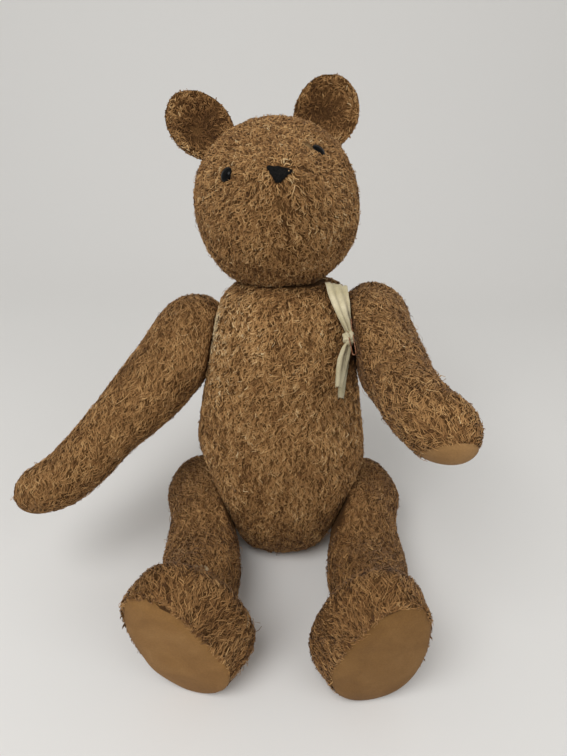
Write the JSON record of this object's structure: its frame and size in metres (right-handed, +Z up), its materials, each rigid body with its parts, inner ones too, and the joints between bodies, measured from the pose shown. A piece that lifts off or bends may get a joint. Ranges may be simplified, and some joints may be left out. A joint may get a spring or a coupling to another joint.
{
  "type": "jointed teddy bear",
  "caption": "Old threadbare teddy bear, sitting: curly brown plush over firm filling, disc-jointed head and limbs, suede pads, black nose and eyes, a scrap of ribbon.",
  "frame": {"origin": "middle of the flat seat under the torso, on the plane the bear sits on", "axes": "+Z up, -Y the way the bear faces, +X towards its own left"},
  "size_m": [0.3121, 0.3016, 0.3763],
  "materials": {
    "head_cotter_pin": "plain steel, dull",
    "head_cover": "worn, matted curly mohair plush",
    "head_disc": "pressed fibreboard",
    "head_stuffing": "packed fibre filling",
    "head_washer": "plain steel, dull",
    "left_arm_cotter_pin": "plain steel, dull",
    "left_arm_cover": "worn, matted curly mohair plush",
    "left_arm_disc": "pressed fibreboard",
    "left_arm_paw_pad": "plain suede, rubbed",
    "left_arm_stuffing": "packed fibre filling",
    "left_arm_washer": "plain steel, dull",
    "left_ear": "worn, matted curly mohair plush",
    "left_eye": "glossy black button eye",
    "left_hip_disc": "pressed fibreboard",
    "left_hip_washer": "plain steel, dull",
    "left_leg_cotter_pin": "plain steel, dull",
    "left_leg_cover": "worn, matted curly mohair plush",
    "left_leg_disc": "pressed fibreboard",
    "left_leg_foot_pad": "plain suede, rubbed",
    "left_leg_stuffing": "packed fibre filling",
    "left_leg_washer": "plain steel, dull",
    "left_shoulder_disc": "pressed fibreboard",
    "left_shoulder_washer": "plain steel, dull",
    "neck_disc": "pressed fibreboard",
    "neck_washer": "plain steel, dull",
    "nose": "flat black felt",
    "ribbon": "aged cream ribbon",
    "right_arm_cotter_pin": "plain steel, dull",
    "right_arm_cover": "worn, matted curly mohair plush",
    "right_arm_disc": "pressed fibreboard",
    "right_arm_paw_pad": "plain suede, rubbed",
    "right_arm_stuffing": "packed fibre filling",
    "right_arm_washer": "plain steel, dull",
    "right_ear": "worn, matted curly mohair plush",
    "right_eye": "glossy black button eye",
    "right_hip_disc": "pressed fibreboard",
    "right_hip_washer": "plain steel, dull",
    "right_leg_cotter_pin": "plain steel, dull",
    "right_leg_cover": "worn, matted curly mohair plush",
    "right_leg_disc": "pressed fibreboard",
    "right_leg_foot_pad": "plain suede, rubbed",
    "right_leg_stuffing": "packed fibre filling",
    "right_leg_washer": "plain steel, dull",
    "right_shoulder_disc": "pressed fibreboard",
    "right_shoulder_washer": "plain steel, dull",
    "safety_pin": "rusted steel wire",
    "safety_pin_cap": "rusted steel wire",
    "torso_cover": "worn, matted curly mohair plush",
    "torso_stuffing": "packed fibre filling"
  },
  "bodies": {
    "torso": {"left_hip_disc": "left_hip_disc", "left_hip_washer": "left_hip_washer", "left_shoulder_disc": "left_shoulder_disc", "left_shoulder_washer": "left_shoulder_washer", "neck_disc": "neck_disc", "neck_washer": "neck_washer", "ribbon": "ribbon", "right_hip_disc": "right_hip_disc", "right_hip_washer": "right_hip_washer", "right_shoulder_disc": "right_shoulder_disc", "right_shoulder_washer": "right_shoulder_washer", "safety_pin": "safety_pin", "safety_pin_cap": "safety_pin_cap", "torso_cover": "torso_cover", "torso_stuffing": "torso_stuffing"},
    "head": {"head_cotter_pin": "head_cotter_pin", "head_cover": "head_cover", "head_disc": "head_disc", "head_stuffing": "head_stuffing", "head_washer": "head_washer", "left_ear": "left_ear", "left_eye": "left_eye", "nose": "nose", "right_ear": "right_ear", "right_eye": "right_eye"},
    "left_arm": {"left_arm_cotter_pin": "left_arm_cotter_pin", "left_arm_cover": "left_arm_cover", "left_arm_disc": "left_arm_disc", "left_arm_paw_pad": "left_arm_paw_pad", "left_arm_stuffing": "left_arm_stuffing", "left_arm_washer": "left_arm_washer"},
    "right_arm": {"right_arm_cotter_pin": "right_arm_cotter_pin", "right_arm_cover": "right_arm_cover", "right_arm_disc": "right_arm_disc", "right_arm_paw_pad": "right_arm_paw_pad", "right_arm_stuffing": "right_arm_stuffing", "right_arm_washer": "right_arm_washer"},
    "left_leg": {"left_leg_cotter_pin": "left_leg_cotter_pin", "left_leg_cover": "left_leg_cover", "left_leg_disc": "left_leg_disc", "left_leg_foot_pad": "left_leg_foot_pad", "left_leg_stuffing": "left_leg_stuffing", "left_leg_washer": "left_leg_washer"},
    "right_leg": {"right_leg_cotter_pin": "right_leg_cotter_pin", "right_leg_cover": "right_leg_cover", "right_leg_disc": "right_leg_disc", "right_leg_foot_pad": "right_leg_foot_pad", "right_leg_stuffing": "right_leg_stuffing", "right_leg_washer": "right_leg_washer"}
  },
  "joints": [
    {"name": "neck_turn", "type": "hinge", "parent": "torso", "child": "head", "pos_m": [0, 0.03598, 0.22717], "axis": [0, 0.1564, 0.9877], "continuous": true},
    {"name": "left_shoulder_turn", "type": "hinge", "parent": "torso", "child": "left_arm", "pos_m": [0.0546, 0.03019, 0.19062], "axis": [0.9874, 0.0247, 0.156], "range_deg": [-40, 45]},
    {"name": "right_shoulder_turn", "type": "hinge", "parent": "torso", "child": "right_arm", "pos_m": [-0.06, 0.02816, 0.17778], "axis": [0.9874, -0.0247, -0.156], "range_deg": [-120, 120]},
    {"name": "left_hip_turn", "type": "hinge", "parent": "torso", "child": "left_leg", "pos_m": [0.06, -0.00186, 0.04575], "axis": [0.9114, -0.2211, -0.347], "range_deg": [-30, 95]},
    {"name": "right_hip_turn", "type": "hinge", "parent": "torso", "child": "right_leg", "pos_m": [-0.056, 0.00133, 0.04292], "axis": [0.9028, 0.264, 0.3394], "range_deg": [-40, 95]}
  ]
}
